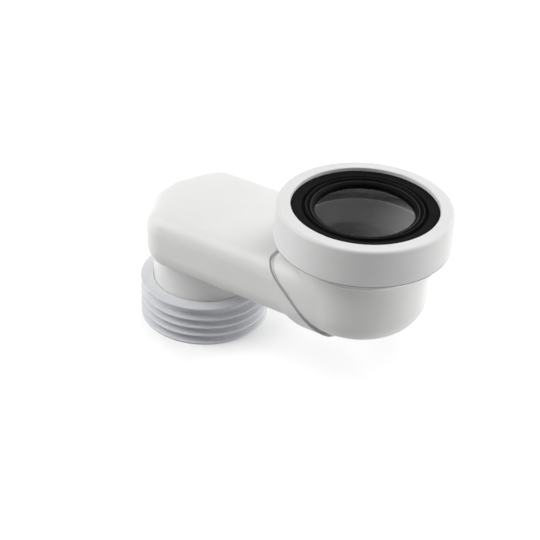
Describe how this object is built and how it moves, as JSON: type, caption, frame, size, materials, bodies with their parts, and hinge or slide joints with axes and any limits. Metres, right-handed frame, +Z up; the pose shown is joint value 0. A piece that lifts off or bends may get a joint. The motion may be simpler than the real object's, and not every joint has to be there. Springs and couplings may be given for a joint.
{
  "type": "toilet pan connector",
  "caption": "Offset toilet pan connector with an upright sealed inlet socket, a flat level duct and a finned outlet spigot that pushes into a soil pipe.",
  "frame": {"origin": "on the outlet axis, at the lower end of the fin seal", "axes": "+X from the outlet axis to the inlet axis, +Z up along both axes, out of the inlet socket; the part is mirrored about the XZ plane"},
  "size_m": [0.2689, 0.1366, 0.1549],
  "materials": {
    "white_moulding": "smooth moulded white plastic, satin gloss",
    "cap_moulding": "smooth moulded white plastic, satin gloss",
    "black_rubber": "smooth black rubber",
    "white_rubber": "soft white sealing rubber, matt"
  },
  "bodies": {
    "root": {"inlet_elbow": "white_moulding", "offset_duct": "white_moulding", "retaining_cap": "cap_moulding", "inlet_seal": "black_rubber", "outlet_fin_seal": "white_rubber"}
  },
  "joints": []
}
